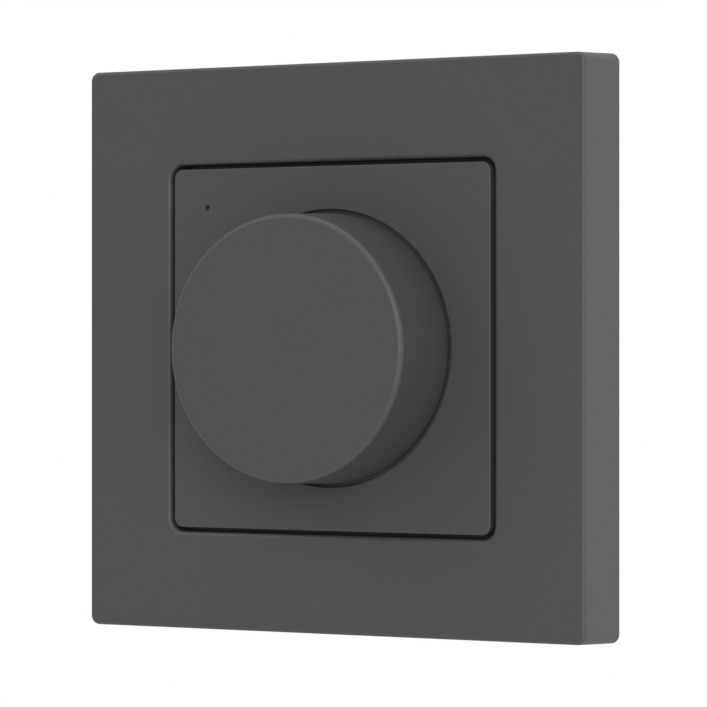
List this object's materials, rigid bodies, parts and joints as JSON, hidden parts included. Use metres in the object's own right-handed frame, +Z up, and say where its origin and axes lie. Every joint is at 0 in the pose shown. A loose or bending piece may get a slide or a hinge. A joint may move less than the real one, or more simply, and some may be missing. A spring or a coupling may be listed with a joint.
{
  "type": "rotary dimmer panel",
  "caption": "Square flush wall dimmer with a plain round knob that turns without end and presses to switch, a cover frame, a centre plate and a boxed dimmer on a steel ring.",
  "frame": {"origin": "centre of the panel on the wall's surface, where the support ring and the frame's rim rest", "axes": "+Z up the wall, +X to the right as seen from the room, +Y into the wall; the knob points to -Y"},
  "size_m": [0.086, 0.0469, 0.086],
  "materials": {
    "anthracite_plastic": "fine satin texture",
    "housing_plastic": "moulded, slightly rough",
    "terminal_plastic": "light grey moulding",
    "encoder_plastic": "black moulding",
    "dark_moulding": "epoxy moulding",
    "white_nylon": "natural moulding",
    "zinc_steel": "zinc plated",
    "die_cast": "die-cast, nickel plated",
    "spring_steel": "bright spring steel",
    "brass": "nickel-free stamped brass",
    "tinned_copper": "tinned",
    "copper_wire": "enamelled winding",
    "aluminium": "mill finish",
    "board": "green solder mask",
    "capacitor_can": "shrink sleeve",
    "film_box": "moulded box",
    "ferrite": "pressed ferrite",
    "thermal_pad": "soft filled silicone",
    "led_resin": "clear resin over phosphor",
    "clear_acrylic": "polished clear rod"
  },
  "bodies": {
    "panel": {"cover_frame": "anthracite_plastic", "centre_plate": "anthracite_plastic", "fixing_washer": "zinc_steel", "fixing_nut": "die_cast", "encoder_bush": "die_cast", "encoder_bracket": "zinc_steel", "encoder_case": "encoder_plastic", "detent_leaf": "spring_steel", "encoder_wipers": "tinned_copper", "encoder_pins": "tinned_copper", "switch_base": "encoder_plastic", "switch_dome": "spring_steel", "support_ring": "zinc_steel", "housing_cup": "housing_plastic", "housing_cover": "housing_plastic", "housing_screws": "zinc_steel", "control_board": "board", "control_chip": "dark_moulding", "indicator_led": "led_resin", "light_guide": "clear_acrylic", "board_header": "tinned_copper", "power_board": "board", "smoothing_capacitor": "capacitor_can", "film_capacitor": "film_box", "filter_choke": "ferrite", "choke_winding": "copper_wire", "fuse": "dark_moulding", "power_transistors": "dark_moulding", "thermal_pads": "thermal_pad", "heat_spreader": "aluminium", "terminal_poles": "terminal_plastic", "terminal_cages": "brass", "clamp_screws": "zinc_steel"},
    "rotor": {"encoder_rotor": "white_nylon", "rotor_contact": "tinned_copper"},
    "knob": {"knob": "anthracite_plastic", "knob_spring": "spring_steel", "encoder_shaft": "die_cast", "shaft_stop_ring": "spring_steel"},
    "switch": {"switch_plunger": "white_nylon"}
  },
  "joints": [
    {"name": "knob_turn", "type": "hinge", "parent": "panel", "child": "rotor", "pos_m": [0, 0, 0], "axis": [0, 1, 0], "continuous": true, "deforming": ["detent_leaf"]},
    {"name": "knob_press", "type": "slide", "parent": "rotor", "child": "knob", "axis": [0, 1, 0], "range_m": [0, 0.0004], "stiffness_N_per_m": 4000, "springref_m": -0.0005},
    {"name": "switch_press", "type": "slide", "parent": "panel", "child": "switch", "axis": [0, 1, 0], "range_m": [0, 0.0004], "deforming": ["switch_dome"]}
  ],
  "couplings": [
    {"joint": "switch_press", "follows": "knob_press", "ratio": 1}
  ]
}
